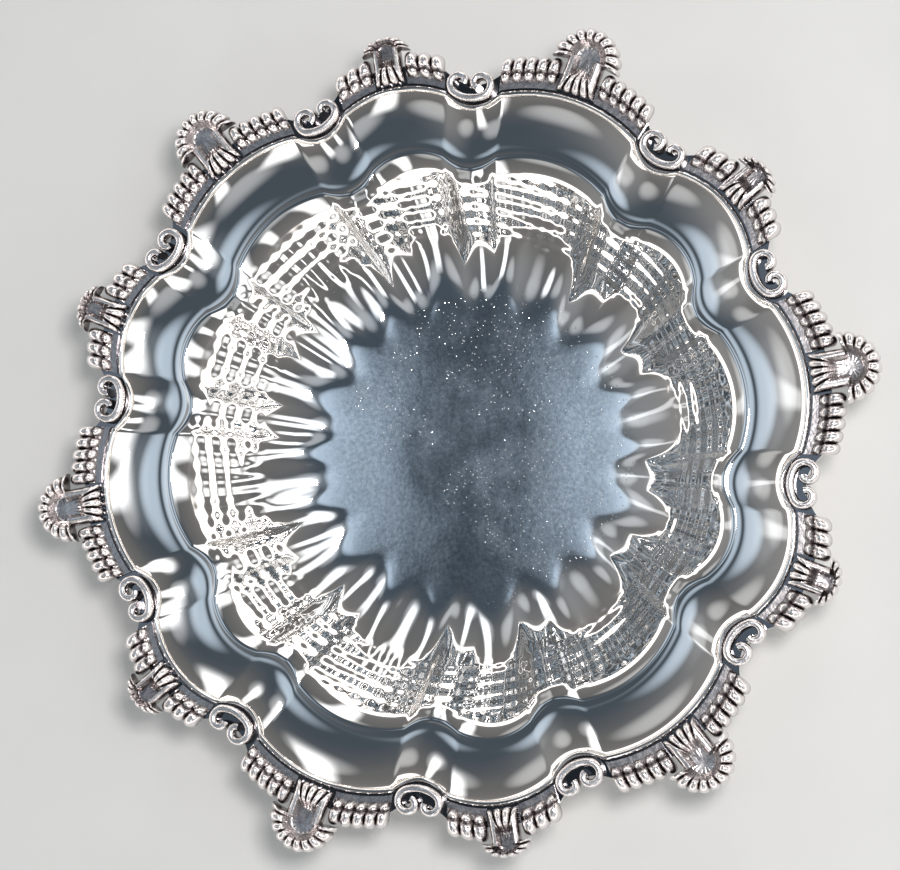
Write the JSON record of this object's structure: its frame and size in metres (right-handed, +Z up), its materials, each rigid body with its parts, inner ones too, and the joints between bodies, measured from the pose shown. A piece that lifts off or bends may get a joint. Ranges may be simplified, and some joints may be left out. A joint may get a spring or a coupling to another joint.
{
  "type": "bonbon dish",
  "caption": "Shallow polished silver dish with a flat floor, fluted well, ridged shoulder and lobed rim edged with a cast gadroon, shell and scroll border, for serving sweets.",
  "frame": {"origin": "middle of the flat underside, on the surface that the dish stands on", "axes": "+Z up out of the dish, +X through the middle of a large lobe and its shell"},
  "size_m": [0.165, 0.1574, 0.0258],
  "materials": {
    "polished_silver": "polished",
    "cast_silver": "gloss"
  },
  "bodies": {
    "root": {"bowl": "polished_silver", "large_shell_1": "cast_silver", "large_shell_2": "cast_silver", "large_shell_3": "cast_silver", "large_shell_4": "cast_silver", "large_shell_5": "cast_silver", "large_shell_6": "cast_silver", "small_shell_1": "cast_silver", "small_shell_2": "cast_silver", "small_shell_3": "cast_silver", "small_shell_4": "cast_silver", "small_shell_5": "cast_silver", "small_shell_6": "cast_silver", "gadroons_1": "cast_silver", "gadroons_2": "cast_silver", "gadroons_3": "cast_silver", "gadroons_4": "cast_silver", "gadroons_5": "cast_silver", "gadroons_6": "cast_silver", "gadroons_7": "cast_silver", "gadroons_8": "cast_silver", "gadroons_9": "cast_silver", "gadroons_10": "cast_silver", "gadroons_11": "cast_silver", "gadroons_12": "cast_silver", "gadroons_13": "cast_silver", "gadroons_14": "cast_silver", "gadroons_15": "cast_silver", "gadroons_16": "cast_silver", "gadroons_17": "cast_silver", "gadroons_18": "cast_silver", "gadroons_19": "cast_silver", "gadroons_20": "cast_silver", "gadroons_21": "cast_silver", "gadroons_22": "cast_silver", "gadroons_23": "cast_silver", "gadroons_24": "cast_silver", "scroll_1": "cast_silver", "scroll_2": "cast_silver", "scroll_3": "cast_silver", "scroll_4": "cast_silver", "scroll_5": "cast_silver", "scroll_6": "cast_silver", "scroll_7": "cast_silver", "scroll_8": "cast_silver", "scroll_9": "cast_silver", "scroll_10": "cast_silver", "scroll_11": "cast_silver", "scroll_12": "cast_silver"}
  },
  "joints": []
}
